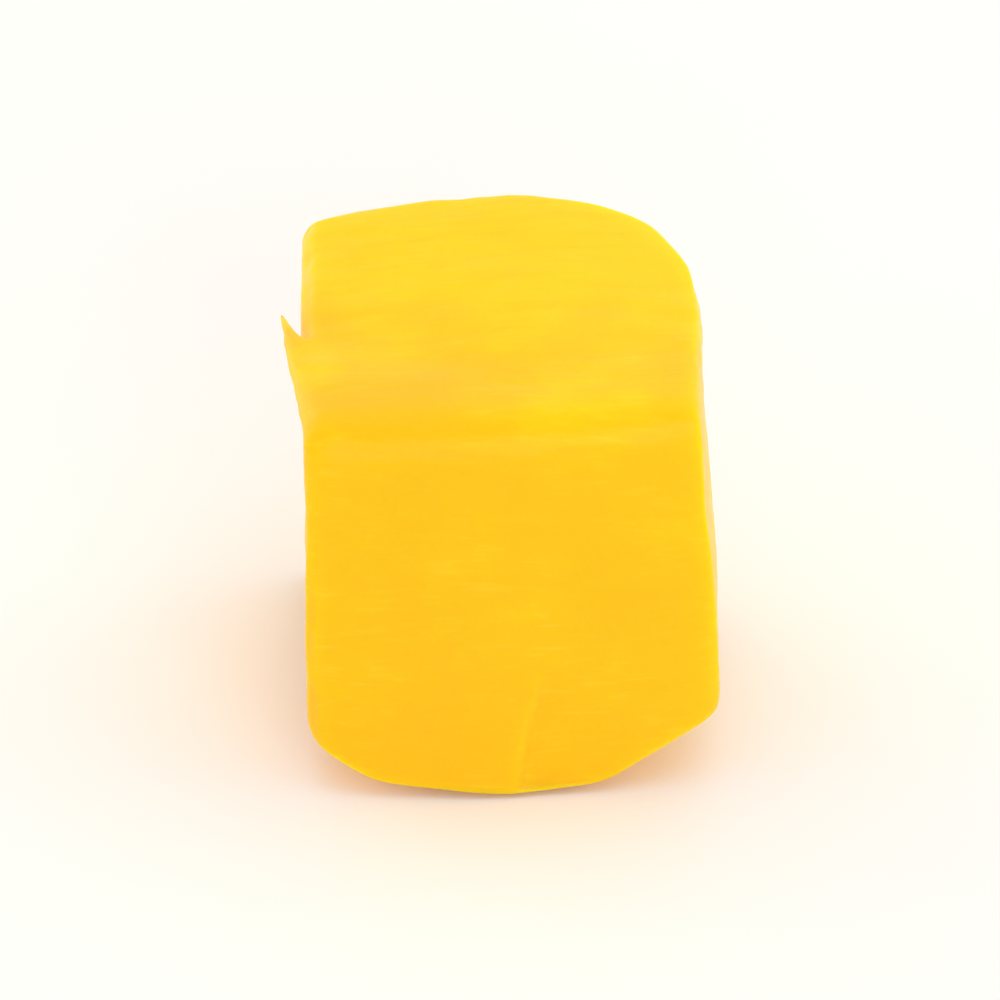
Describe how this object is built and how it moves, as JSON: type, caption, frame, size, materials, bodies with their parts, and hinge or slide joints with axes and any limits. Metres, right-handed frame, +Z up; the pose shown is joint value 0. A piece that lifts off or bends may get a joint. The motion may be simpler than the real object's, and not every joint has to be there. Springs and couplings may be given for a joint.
{
  "type": "mango cube",
  "caption": "Chunk of ripe mango flesh cut to a cube: five knife-cut sides, and the rounded, peeled side of the fruit underneath with the flat spot it rests on.",
  "frame": {"origin": "middle of the chunk's footprint, on the surface that it stands on", "axes": "+Z up, out of the top cut; -Y out of the front cut; +X to the right, along the fibres of the flesh"},
  "size_m": [0.0271, 0.0284, 0.0276],
  "materials": {
    "mango_flesh": "satin"
  },
  "bodies": {
    "root": {"mango_cube": "mango_flesh"}
  },
  "joints": []
}
